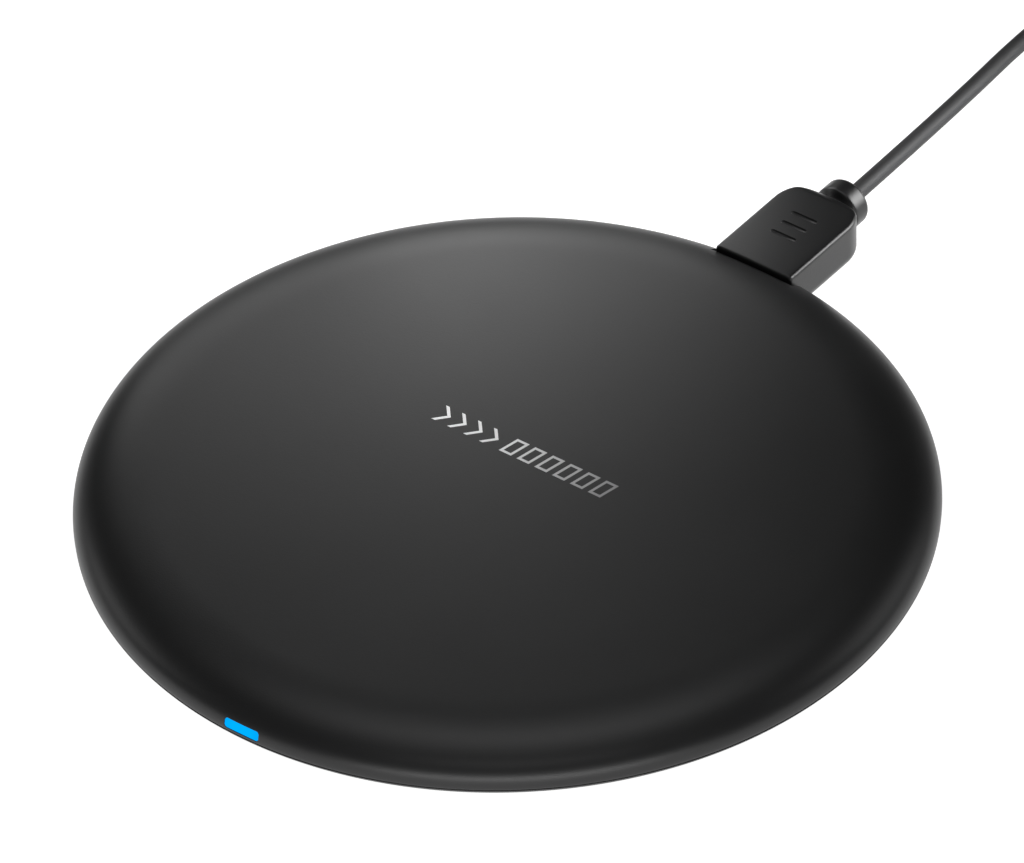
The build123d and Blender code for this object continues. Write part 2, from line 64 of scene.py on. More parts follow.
def make_camera():
    a, e = CAM_AZ, CAM_EL
    back = Vector((math.sin(a) * math.cos(e), -math.cos(a) * math.cos(e), math.sin(e)))
    right = Vector((math.cos(a), math.sin(a), 0.0))
    up = back.cross(right)
    r2 = math.cos(CAM_ROLL) * right + math.sin(CAM_ROLL) * up
    u2 = -math.sin(CAM_ROLL) * right + math.cos(CAM_ROLL) * up
    cam = bpy.data.cameras.new("camera")
    cam.sensor_fit = "HORIZONTAL"
    cam.sensor_width = 36.0
    cam.lens = CAM_F / 1024.0 * 36.0
    cam.clip_start, cam.clip_end = 0.01, 20.0
    ob = bpy.data.objects.new("camera", cam)
    scene.collection.objects.link(ob)
    m = Matrix((r2, u2, back)).transposed().to_4x4()
    m.translation = (Vector(CAM_T) + back * CAM_D) * MM
    ob.matrix_world = m
    scene.camera = ob


make_camera()

# ================================================================= cord
RUN_POINTS = [(PORT_X, COLLAR_Y1 - 0.05, PORT_Z), (-0.22, 88.0, 3.42), (-1.38, 108.6, 3.30), (-1.6, 129.3, 0.95)]
TAIL_POINTS = [(-3.6, 135.7, 7.7), (6.2, 135.2, 5.2), (A_REAR_X - 4.0, A_Y, A_Z)]


def coil_points():
    """Turns of the put-away coil: rows from the bottom up, each row winding in, then the next winding out."""
    per = 16
    r_out, r_in = COIL_COLS[0], COIL_COLS[-1]
    pts = []
    total = 12.0 - 0.25                      # ends a quarter turn short, where the tail leaves
    n = int(total * per)
    for i in range(n + 1):
        t = i / per                          # turns so far
        row = min(int(t // 3), 3)
        u = t - 3 * row                      # turns in this row
        # radius holds through most of a turn and steps over during its last third
        def step(x):
            k = min(int(x), 2)
            f = x - k
            s = 0.0 if f < 0.6 else (f - 0.6) / 0.4
            s = s * s * (3 - 2 * s)
            return k + s if k < 2 else 2.0
        lane = step(u)
        rad = r_out - lane * CORD_D if row % 2 == 0 else r_in + lane * CORD_D
        z = COIL_ROWS[row]
        if row < 3 and u > 2.6:              # climbs to the next row at the end of this one
            f = (u - 2.6) / 0.4
            f = f * f * (3 - 2 * f)
            z += f * (COIL_ROWS[row + 1] - COIL_ROWS[row])
        a = 2 * math.pi * t
        k = 1.0 + 0.5 * (1.0 / math.cos(math.pi / per) - 1.0)   # the spline runs inside its points
        pts.append((COIL_C[0] + rad * k * math.cos(a), COIL_C[1] + rad * k * math.sin(a), z))
    return pts


def make_cord():
    pts = RUN_POINTS + coil_points() + TAIL_POINTS
    cu = bpy.data.curves.new("lead_cord", "CURVE")
    cu.dimensions = "3D"
    sp = cu.splines.new("NURBS")
    sp.points.add(len(pts) - 1)
    for p, q in zip(sp.points, pts):
        p.co = (q[0] * MM, q[1] * MM, q[2] * MM, 1.0)
    sp.order_u = 3
    sp.use_endpoint_u = True
    sp.resolution_u = 6
    cu.bevel_depth = CORD_D / 2 * MM
    cu.bevel_resolution = 8
    cu.use_fill_caps = True
    ob = bpy.data.objects.new("lead_cord", cu)
    scene.collection.objects.link(ob)
    return ob


cord = make_cord()


# ================================================================= materials
class Mat:
    """Small helper around a node tree."""

    def __init__(self, name):
        self.m = bpy.data.materials.new(name)
        self.m.use_nodes = True
        self.t = self.m.node_tree
        self.p = self.t.nodes["Principled BSDF"]

    def n(self, kind, **kw):
        nd = self.t.nodes.new(kind)
        for k, v in kw.items():
            setattr(nd, k, v)
        return nd

    def link(self, a, b):
        self.t.links.new(a, b)

    def coords(self):
        return self.n("ShaderNodeTexCoord").outputs["Object"]

    def noise(self, scale, detail=2.0, rough=0.5, vec=None):
        nd = self.n("ShaderNodeTexNoise")
        nd.inputs["Scale"].default_value = scale
        nd.inputs["Detail"].default_value = detail
        nd.inputs["Roughness"].default_value = rough
        self.link(vec if vec is not None else self.coords(), nd.inputs["Vector"])
        return nd.outputs["Fac"]

    def ramp(self, fac, stops):
        nd = self.n("ShaderNodeValToRGB")
        e = nd.color_ramp.elements
        while len(e) < len(stops):
            e.new(0.5)
        for i, (pos, col) in enumerate(stops):
            e[i].position = pos
            e[i].color = (*col, 1.0) if len(col) == 3 else col
        self.link(fac, nd.inputs["Fac"])
        return nd.outputs["Color"]

    def map_range(self, fac, a, b, c, d):
        nd = self.n("ShaderNodeMapRange")
        for i, v in zip(("From Min", "From Max", "To Min", "To Max"), (a, b, c, d)):
            nd.inputs[i].default_value = v
        self.link(fac, nd.inputs["Value"])
        return nd.outputs["Result"]

    def bump(self, height, strength, dist, chain=None):
        nd = self.n("ShaderNodeBump")
        nd.inputs["Strength"].default_value = strength
        nd.inputs["Distance"].default_value = dist
        self.link(height, nd.inputs["Height"])
        if chain is not None:
            self.link(chain, nd.inputs["Normal"])
        return nd.outputs["Normal"]

    def set(self, **kw):
        for k, v in kw.items():
            self.p.inputs[k.replace("_", " ")].default_value = v


def speckled(name, base, var, rough, rough_var, grain_scale, grain, spec=0.5, coat=0.0, metal=0.0, big_scale=60.0, ior=1.45, sheen=0.0):
    """Moulded or painted surface: fine grain, faint colour and gloss variation."""
    k = Mat(name)
    vec = k.coords()
    big = k.noise(big_scale, 3.0, 0.55, vec)
    lo = tuple(max(0.0, c - var) for c in base)
    hi = tuple(min(1.0, c + var) for c in base)
    k.link(k.ramp(big, [(0.3, lo), (0.7, hi)]), k.p.inputs["Base Color"])
    k.link(k.map_range(big, 0.3, 0.7, rough - rough_var, rough + rough_var), k.p.inputs["Roughness"])
    fine = k.noise(grain_scale, 2.0, 0.6, vec)
    k.link(k.bump(fine, grain, 0.00004), k.p.inputs["Normal"])
    k.set(Metallic=metal, IOR=ior)
    k.p.inputs["Specular IOR Level"].default_value = spec
    if sheen:
        k.p.inputs["Sheen Weight"].default_value = sheen
        k.p.inputs["Sheen Roughness"].default_value = 0.28
    if coat:
        k.p.inputs["Coat Weight"].default_value = coat
        k.p.inputs["Coat Roughness"].default_value = 0.25
    return k


M = {}
M["soft"] = speckled("soft_touch_black", (0.011, 0.011, 0.0113), 0.0008, 0.40, 0.012, 5200.0, 0.25, sheen=0.06)
M["shell"] = speckled("shell_grained_black", (0.013, 0.013, 0.0133), 0.001, 0.42, 0.02, 3600.0, 0.4, sheen=0.06)
M["silicone"] = speckled("foot_silicone", (0.022, 0.022, 0.023), 0.003, 0.72, 0.03, 2600.0, 0.4)
M["plug"] = speckled("plug_satin_black", (0.008, 0.008, 0.0083), 0.0008, 0.34, 0.015, 4200.0, 0.15, spec=0.5)
M["cord"] = speckled("cord_pvc_black", (0.018, 0.018, 0.019), 0.002, 0.60, 0.03, 3600.0, 0.3)
M["tie"] = speckled("tie_strap_black", (0.02, 0.02, 0.021), 0.004, 0.7, 0.04, 1800.0, 0.9)
M["ferrite"] = speckled("ferrite_grey", (0.035, 0.035, 0.038), 0.006, 0.55, 0.04, 2500.0, 0.5)
M["black_part"] = speckled("moulded_epoxy", (0.02, 0.02, 0.022), 0.003, 0.5, 0.04, 5000.0, 0.5)
M["tape"] = speckled("adhesive_tape", (0.45, 0.42, 0.34), 0.03, 0.5, 0.05, 1500.0, 0.2)
M["foam"] = speckled("foam_black", (0.02, 0.02, 0.02), 0.008, 0.9, 0.03, 1400.0, 1.0)
M["nylon"] = speckled("connector_nylon_black", (0.012, 0.012, 0.013), 0.002, 0.4, 0.03, 4000.0, 0.3)
M["natural"] = speckled("premould_natural", (0.62, 0.6, 0.55), 0.03, 0.4, 0.04, 2000.0, 0.2)
M["ceramic"] = speckled("capacitor_ceramic", (0.34, 0.22, 0.11), 0.03, 0.4, 0.05, 3000.0, 0.2)
M["led_body"] = speckled("led_package", (0.75, 0.73, 0.62), 0.03, 0.3, 0.05, 3000.0, 0.1)


def metal(name, base, rough, scratch_scale=900.0, aniso_axis=(1.0, 14.0, 1.0), strength=0.12):
    k = Mat(name)
    vec = k.coords()
    mp = k.n("ShaderNodeMapping")
    mp.inputs["Scale"].default_value = aniso_axis
    k.link(vec, mp.inputs["Vector"])
    streak = k.noise(scratch_scale, 4.0, 0.6, mp.outputs["Vector"])
    big = k.noise(220.0, 3.0, 0.6, vec)
    lo = tuple(c * 0.86 for c in base)
    k.link(k.ramp(big, [(0.35, lo), (0.65, base)]), k.p.inputs["Base Color"])
    k.link(k.map_range(streak, 0.3, 0.7, rough - 0.06, rough + 0.08), k.p.inputs["Roughness"])
    k.link(k.bump(streak, strength, 0.00003), k.p.inputs["Normal"])
    k.set(Metallic=1.0)
    return k


M["plate"] = metal("nickel_plate", (0.62, 0.62, 0.63), 0.24)
M["steel"] = metal("screw_steel", (0.48, 0.48, 0.50), 0.34)
M["gold"] = metal("contact_gold", (0.78, 0.55, 0.22), 0.25)
M["copper"] = metal("enamelled_copper", (0.62, 0.26, 0.11), 0.35, 1600.0, (1.0, 1.0, 1.0), 0.4)


def board_material():
    k = Mat("board_green")
    vec = k.coords()
    v = k.n("ShaderNodeTexVoronoi", feature="DISTANCE_TO_EDGE")
    v.inputs["Scale"].default_value = 420.0
    k.link(vec, v.inputs["Vector"])
    col = k.ramp(v.outputs["Distance"], [(0.02, (0.02, 0.13, 0.05)), (0.06, (0.008, 0.07, 0.028))])
    k.link(col, k.p.inputs["Base Color"])
    k.link(k.bump(v.outputs["Distance"], 0.2, 0.00002), k.p.inputs["Normal"])
    k.link(k.map_range(k.noise(90.0, 2.0, 0.5, vec), 0.3, 0.7, 0.25, 0.35), k.p.inputs["Roughness"])
    return k


M["board"] = board_material()


def light_material():
    """Lit light pipe: even azure, a touch deeper towards its rim."""
    k = Mat("status_light_blue")
    vec = k.coords()
    sep = k.n("ShaderNodeSeparateXYZ")
    k.link(vec, sep.inputs[0])
    mid = k.n("ShaderNodeMath", operation="SUBTRACT")
    k.link(sep.outputs["X"], mid.inputs[0])
    mid.inputs[1].default_value = LIGHT_X * MM
    ab = k.n("ShaderNodeMath", operation="ABSOLUTE")
    k.link(mid.outputs[0], ab.inputs[0])
    fall = k.map_range(ab.outputs[0], 0.0012, 0.0023, 0.0, 1.0)
    col = k.ramp(fall, [(0.0, (0.0, 0.40, 1.0)), (1.0, (0.0, 0.36, 0.92))])
    k.link(col, k.p.inputs["Emission Color"])
    k.link(k.ramp(k.noise(900.0, 2.0, 0.5, vec), [(0.3, (0.0, 0.05, 0.10)), (0.7, (0.0, 0.07, 0.13))]), k.p.inputs["Base Color"])
    k.set(Roughness=0.5)
    k.p.inputs["Emission Strength"].default_value = 1.0
    k.p.inputs["Specular IOR Level"].default_value = 0.0
    return k


M["light"] = light_material()


def ink_painted_highlight_material():
    """Printed metallic ink, its colour lighter at the left end and darker to the right; its glow is a painted
    highlight, strongest at the left end.
    """
    k = Mat("printed_ink_painted_highlight")
    vec = k.coords()
    sep = k.n("ShaderNodeSeparateXYZ")
    k.link(vec, sep.inputs[0])
    f = k.map_range(sep.outputs["X"], -0.0125, 0.0125, 0.0, 1.0)
    col = k.ramp(f, [(0.0, (0.80, 0.81, 0.82)), (0.35, (0.58, 0.585, 0.59)), (0.7, (0.30, 0.30, 0.305)), (1.0, (0.17, 0.17, 0.172))])
    mix = k.n("ShaderNodeMix", data_type="RGBA", blend_type="MULTIPLY")
    mix.inputs["Factor"].default_value = 0.15
    k.link(col, mix.inputs["A"])
    k.link(k.noise(3800.0, 2.0, 0.5, vec), mix.inputs["B"])
    k.link(mix.outputs["Result"], k.p.inputs["Base Color"])
    # painted highlight: the ink glows, brightest at its left end and dimmer to the right
    painted_highlight_glow = k.ramp(f, [(0.0, (0.40, 0.40, 0.40)), (0.35, (0.30, 0.30, 0.30)), (0.7, (0.17, 0.17, 0.17)), (1.0, (0.09, 0.09, 0.09))])
    k.link(painted_highlight_glow, k.p.inputs["Emission Color"])
    k.p.inputs["Emission Strength"].default_value = 1.0
    k.link(k.map_range(k.noise(2400.0, 2.0, 0.5, vec), 0.3, 0.7, 0.42, 0.5), k.p.inputs["Roughness"])
    return k


M["ink"] = ink_painted_highlight_material()


# ================================================================= mesh helpers
def new_mesh(name, verts, faces, mat, smooth=True, sharp_deg=38.0):
    me = bpy.data.meshes.new(name)
    me.from_pydata([tuple(float(c) * MM for c in v) for v in verts], [], [tuple(f) for f in faces])
    me.validate()
    ob = bpy.data.objects.new(name, me)
    scene.collection.objects.link(ob)
    ob.data.materials.append(M[mat].m)
    clean(ob, smooth, sharp_deg)
    return ob


def clean(ob, smooth=True, sharp_deg=38.0):
    bm = bmesh.new()
    bm.from_mesh(ob.data)
    bmesh.ops.remove_doubles(bm, verts=bm.verts, dist=1e-7)
    bmesh.ops.dissolve_degenerate(bm, dist=1e-8, edges=bm.edges)
    bmesh.ops.recalc_face_normals(bm, faces=bm.faces)
    for f in bm.faces:
        f.smooth = smooth
    lim = math.radians(sharp_deg)
    for e in bm.edges:
        e.smooth = not (len(e.link_faces) == 2 and e.calc_face_angle(0.0) > lim)
    bm.to_mesh(ob.data)
    bm.free()


def revolve_z(profile, n=540):
    """Closed profile [(r, z), ...] turned about Z. Points with r=0 are welded to the axis."""
    verts, faces = [], []
    m = len(profile)
    ring = []
    for r, z in profile:
        if r < 1e-9:
            ring.append((len(verts), 1))
            verts.append((0, 0, z))
        else:
            ring.append((len(verts), n))
            for j in range(n):
                a = 2 * math.pi * j / n
                verts.append((r * math.cos(a), r * math.sin(a), z))
    for i in range(m):
        a0, ca = ring[i]
        b0, cb = ring[(i + 1) % m]
        for j in range(n):
            j2 = (j + 1) % n
            if ca == 1 and cb == 1:
                break
            if ca == 1:
                faces.append((a0, b0 + j, b0 + j2))
            elif cb == 1:
                faces.append((a0 + j, b0, a0 + j2))
            else:
                faces.append((a0 + j, b0 + j, b0 + j2, a0 + j2))
    return verts, faces


def loft(sections, cap0=True, cap1=True):
    """Rings of equal length joined one after another; flat fans close the ends."""
    verts, faces = [], []
    n = len(sections[0])
    for s in sections:
        verts += [tuple(p) for p in s]
    for i in range(len(sections) - 1):
        for j in range(n):
            a, b = i * n + j, i * n + (j + 1) % n
            faces.append((a, b, b + n, a + n))
    for cap, base in ((cap0, 0), (cap1, (len(sections) - 1) * n)):
        if cap:
            c = np.mean(np.array(sections[0] if base == 0 else sections[-1]), axis=0)
            verts.append(tuple(c))
            k = len(verts) - 1
            for j in range(n):
                faces.append((base + j, base + (j + 1) % n, k))
    return verts, faces


def rim(r_flat, reach, z_mid, dz, n, p=RIM_P, t0=0.0, t1=1.0):
    """Superellipse quarter from the flat (t=0) to the widest line (t=1)."""
    out = []
    for i in range(n + 1):
        t = (t0 + (t1 - t0) * i / n) * math.pi / 2
        out.append((r_flat + reach * math.sin(t) ** (2 / p), z_mid + dz * max(0.0, math.cos(t)) ** (2 / p)))
    return out


def solid_box(name, x0, x1, y0, y1, z0, z1):
    v = [(x, y, z) for x in (x0, x1) for y in (y0, y1) for z in (z0, z1)]
    f = [(0, 1, 3, 2), (4, 6, 7, 5), (0, 4, 5, 1), (2, 3, 7, 6), (0, 2, 6, 4), (1, 5, 7, 3)]
    me = bpy.data.meshes.new(name)
    me.from_pydata([tuple(c * MM for c in p) for p in v], [], f)
    ob = bpy.data.objects.new(name, me)
    scene.collection.objects.link(ob)
    return ob


def rounded_loop(w, h, r, n_corner=8):
    """Rounded rectangle about the origin, counter-clockwise."""
    r = min(r, w / 2 - 1e-6, h / 2 - 1e-6)
    pts = []
    for cx, cy, a0 in ((w / 2 - r, h / 2 - r, 0), (-w / 2 + r, h / 2 - r, 90), (-w / 2 + r, -h / 2 + r, 180), (w / 2 - r, -h / 2 + r, 270)):
        for i in range(n_corner + 1):
            a = math.radians(a0 + 90 * i / n_corner)
            pts.append((cx + r * math.cos(a), cy + r * math.sin(a)))
    return pts


def prism_y(name, loop, cx, cz, y0, y1):
    """Loop drawn in x and z, run from y0 to y1."""
    s = [[(cx + x, y, cz + z) for x, z in loop] for y in (y0, y1)]
    v, f = loft(s)
    me = bpy.data.meshes.new(name)
    me.from_pydata([tuple(c * MM for c in p) for p in v], [], f)
    ob = bpy.data.objects.new(name, me)
    scene.collection.objects.link(ob)
    bm = bmesh.new()
    bm.from_mesh(me)
    bmesh.ops.recalc_face_normals(bm, faces=bm.faces)
    bm.to_mesh(me)
    bm.free()
    return ob


def boolean(ob, cutter, op):
    md = ob.modifiers.new("b", "BOOLEAN")
    md.operation = op
    md.solver = "EXACT"
    md.object = cutter
    dg = bpy.context.evaluated_depsgraph_get()
    me = bpy.data.meshes.new_from_object(ob.evaluated_get(dg))
    ob.modifiers.clear()
    old = ob.data
    ob.data = me
    bpy.data.meshes.remove(old)
    cm = cutter.data
    bpy.data.objects.remove(cutter)
    bpy.data.meshes.remove(cm)


# ================================================================= case
def make_covers():
    flat_in = [(0.0, TOP_Z)] + [(r, TOP_Z) for r in (8, 16, 24, 31, 36, 39)]
    up = rim(FLAT_R, PAD_R - FLAT_R, EQ_Z, TOP_Z - EQ_Z, 44)
    low = rim(FLAT_R, PAD_R - FLAT_R, EQ_Z, BASE_Z - EQ_Z, 30)[::-1]
    # parting line: both covers end in a small rounded lip at SPLIT_Z
    seam_r = np.interp(SPLIT_Z, [p[1] for p in low][::-1], [p[0] for p in low][::-1])
    outer_top = [p for p in flat_in + up]
    outer_top += [(seam_r, SPLIT_Z + 0.10), (seam_r - 0.05, SPLIT_Z + 0.03), (seam_r - 0.12, SPLIT_Z + 0.01)]
    inner = [(48.6, SPLIT_Z + 0.01)] + rim(FLAT_R, 8.8, EQ_Z, TOP_Z - WALL - EQ_Z, 18)[::-1] + [(24.0, TOP_Z - WALL), (0.0, TOP_Z - WALL)]
    v, f = revolve_z(outer_top + inner)
    top = new_mesh("pad_top", v, f, "soft")
    wall = solid_box("w", PORT_X - PORT_WALL_HALF, PORT_X + PORT_WALL_HALF, PORT_WALL_Y, 47.4, SPLIT_Z + 0.01, 5.9)
    boolean(top, wall, "UNION")
    boolean(top, prism_y("n", rounded_loop(2 * NOTCH_HALF, 14.0, 0.5, 3), PORT_X, 4.0, NOTCH_Y, 54.0), "DIFFERENCE")
    boolean(top, prism_y("p", rounded_loop(7.9, 3.0, 0.45, 4), PORT_X, PORT_Z, 44.0, 49.0), "DIFFERENCE")
    boolean(top, prism_y("s", rounded_loop(LIGHT_W, LIGHT_Z1 - LIGHT_Z0, LIGHT_R, 10), LIGHT_X, (LIGHT_Z0 + LIGHT_Z1) / 2, -52.0, -45.0), "DIFFERENCE")
    clean(top)
    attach(top, "pad")
    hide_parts("top_cover")

    outer_low = [(seam_r - 0.12, SPLIT_Z - 0.01), (seam_r - 0.05, SPLIT_Z - 0.03), (seam_r, SPLIT_Z - 0.10)]
    outer_low += [p for p in low if p[1] < SPLIT_Z - 0.12]
    outer_low += [(39.3, BASE_Z), (39.05, BASE_Z), (39.0, BASE_Z + 0.05), (39.0, 1.1), (33.0, 1.1), (33.0, BASE_Z + 0.05),
                  (32.95, BASE_Z), (32.7, BASE_Z), (24.0, BASE_Z), (12.0, BASE_Z), (0.0, BASE_Z)]
    inner_low = [(0.0, 1.8), (40.0, 1.8)] + [(40 + 7.2 * math.sin(t), EQ_Z - 1.4 * math.cos(t)) for t in np.linspace(0.15, 1.34, 10)]
    inner_low = [p for p in inner_low if p[0] < 47.1]
    lip = [(47.2, 2.9), (47.2, 3.85), (47.25, 3.9), (48.15, 3.9), (48.2, 3.85), (48.2, SPLIT_Z - 0.01)]
    v, f = revolve_z(outer_low + inner_low + lip)
    bot = new_mesh("pad_base", v, f, "shell")
    wall = solid_box("w", PORT_X - PORT_WALL_HALF, PORT_X + PORT_WALL_HALF, PORT_WALL_Y, 47.4, 1.6, SPLIT_Z - 0.01)
    boolean(bot, wall, "UNION")
    boolean(bot, solid_box("c", PORT_X - 8.4, PORT_X + 8.4, 44.0, 52.0, SPLIT_Z - 0.01, 6.0), "DIFFERENCE")
    boolean(bot, solid_box("c", LIGHT_X - 3.4, LIGHT_X + 3.4, -52.0, -44.0, SPLIT_Z - 0.01, 6.0), "DIFFERENCE")
    boolean(bot, prism_y("n", rounded_loop(2 * NOTCH_HALF, 14.0, 0.5, 3), PORT_X, 4.0, NOTCH_Y, 54.0), "DIFFERENCE")
    boolean(bot, prism_y("p", rounded_loop(7.9, 3.0, 0.45, 4), PORT_X, PORT_Z, 44.0, 49.0), "DIFFERENCE")
    clean(bot)
    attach(bot, "pad")
    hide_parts("bottom_cover")

    prof = [(33.15, 1.08), (33.08, 1.02), (33.08, 0.3), (33.13, 0.12), (33.25, 0.03), (33.45, 0.0)]
    for g in (34.6, 36.0, 37.4):             # three shallow grip grooves
        prof += [(g - 0.3, 0.0), (g - 0.22, 0.09), (g, 0.13), (g + 0.22, 0.09), (g + 0.3, 0.0)]
    prof += [(38.55, 0.0), (38.75, 0.03), (38.87, 0.12), (38.92, 0.3), (38.92, 1.02), (38.85, 1.08)]
    v, f = revolve_z(prof, 360)
    foot = new_mesh("pad_foot", v, f, "silicone", sharp_deg=50)
    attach(foot, "pad")
    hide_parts("foot_ring")


make_covers()


def make_light():
    """Light pipe: face follows the rim, stem and flange behind it."""
    up = rim(FLAT_R, PAD_R - FLAT_R, EQ_Z, TOP_Z - EQ_Z, 200)
    zs, rs = [p[1] for p in up][::-1], [p[0] for p in up][::-1]
    w, h = LIGHT_W - 0.06, LIGHT_Z1 - LIGHT_Z0 - 0.06
    cz = (LIGHT_Z0 + LIGHT_Z1) / 2
    secs = []
    for scale, sink in ((0.60, 0.0), (0.80, 0.0), (0.93, 0.005), (0.98, 0.03), (1.0, 0.08)):
        ring = []
        for x, z in rounded_loop(w, h, LIGHT_R - 0.03, 12):
            kx = x - math.copysign(min(abs(x), w / 2 * (1 - scale)), x) if scale < 1 else x
            kz = z * scale
            kx = x * (1 - (1 - scale) * h / w)
            r = float(np.interp(cz + kz, zs, rs))
            y = -math.sqrt(r * r - (LIGHT_X + kx) ** 2) + 0.02 + sink
            ring.append((LIGHT_X + kx, y, cz + kz))
        secs.append(ring)
    for y in (-48.6, -46.45):
        secs.append([(LIGHT_X + x, y, cz + z) for x, z in rounded_loop(w, h, LIGHT_R - 0.03, 12)])
    v, f = loft(secs)
    ob = new_mesh("status_light", v, f, "light", sharp_deg=60)
    fl = solid_box("f", LIGHT_X - 2.9, LIGHT_X + 2.9, -46.5, -45.2, LIGHT_Z0, 5.0)
    boolean(ob, fl, "UNION")
    clean(ob, sharp_deg=60)
    ob.data.materials.clear()
    ob.data.materials.append(M["light"].m)
    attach(ob, "pad")
    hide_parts("light_pipe")


make_light()


# ================================================================= printed mark
def make_mark():
    """Plain charge-level print: four chevrons, a gap, six slanted frames."""
    z0, z1 = TOP_Z - 0.004, TOP_Z + 0.012
    cx, cy, h = 0.0, 3.45, 2.85
    slant = 0.20
    verts, faces = [], []

    def poly(outer, inner=None):
        base = len(verts)
        if inner is None:
            n = len(outer)
            for z in (z0, z1):
                verts.extend((cx + x, cy + y, z) for x, y in outer)
            faces.append(tuple(base + i for i in range(n))[::-1])
            faces.append(tuple(base + n + i for i in range(n)))
            for i in range(n):
                j = (i + 1) % n
                faces.append((base + i, base + j, base + n + j, base + n + i))
        else:
            n = len(outer)
            for z in (z0, z1):
                verts.extend((cx + x, cy + y, z) for x, y in outer)
                verts.extend((cx + x, cy + y, z) for x, y in inner)
            for i in range(n):
                j = (i + 1) % n
                o0, o1, i0, i1 = base + i, base + j, base + n + i, base + n + j
                faces.append((o0, i0, i1, o1))
                faces.append((o0 + 2 * n, o1 + 2 * n, i1 + 2 * n, i0 + 2 * n))
                faces.append((o0, o1, o1 + 2 * n, o0 + 2 * n))
                faces.append((i0, i0 + 2 * n, i1 + 2 * n, i1))

    st = 0.40
    x = -12.45
    for _ in range(4):                       # chevrons
        w = 1.25
        poly([(x, h / 2), (x + w, 0.0), (x, -h / 2), (x + st * 1.25, -h / 2), (x + w + st * 1.25, 0.0), (x + st * 1.25, h / 2)])
        x += 2.32
    x += 0.55
    for _ in range(6):                       # slanted frames
        w, sl = 1.74, slant * h

        def para(d):
            return [(x + d + sl * 0.0 + (d - 0) * 0.0, -h / 2 + d), (x + w - d, -h / 2 + d),
                    (x + w - d + sl * (h - 2 * d) / h, h / 2 - d), (x + d + sl * (h - 2 * d) / h, h / 2 - d)]
        outer = para(0.0)
        inner = [(px + sl * st * 0.86 / h, py) for px, py in para(st * 0.86)]
        poly(outer, inner)
        x += 2.56
    ob = new_mesh("charge_mark", verts, faces, "ink", smooth=False)
    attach(ob, "pad")


make_mark()


# ================================================================= micro plug body
def smooth01(t):
    t = min(1.0, max(0.0, t))
    return t * t * (3 - 2 * t)


def section(w, h, r, r_low=None, n_flat=14, n_corner=12, crown=0.0):
    """Rounded rectangle with half sizes w, h: equal counts on each side, so sections match."""
    r_low = r if r_low is None else r_low
    r, r_low = min(r, w, h), min(r_low, w, h)
    pts = []
    corners = ((w - r, h - r, 0, r), (-w + r, h - r, 90, r), (-w + r_low, -h + r_low, 180, r_low), (w - r_low, -h + r_low, 270, r_low))
    for k, (cx, cz, a0, rc) in enumerate(corners):
        for i in range(n_corner + 1):
            a = math.radians(a0 + 90 * i / n_corner)
            pts.append((cx + rc * math.cos(a), cz + rc * math.sin(a)))
        nx = corners[(k + 1) % 4]
        a1 = math.radians(a0 + 90)
        p0 = (cx + rc * math.cos(a1), cz + rc * math.sin(a1))
        p1 = (nx[0] + nx[3] * math.cos(a1), nx[1] + nx[3] * math.sin(a1))
        for i in range(1, n_flat):
            t = i / n_flat
            pts.append((p0[0] + (p1[0] - p0[0]) * t, p0[1] + (p1[1] - p0[1]) * t))
    if crown:
        pts = [(x, z * (1.0 - (x / w) ** 2 * crown / h)) for x, z in pts]
    return pts


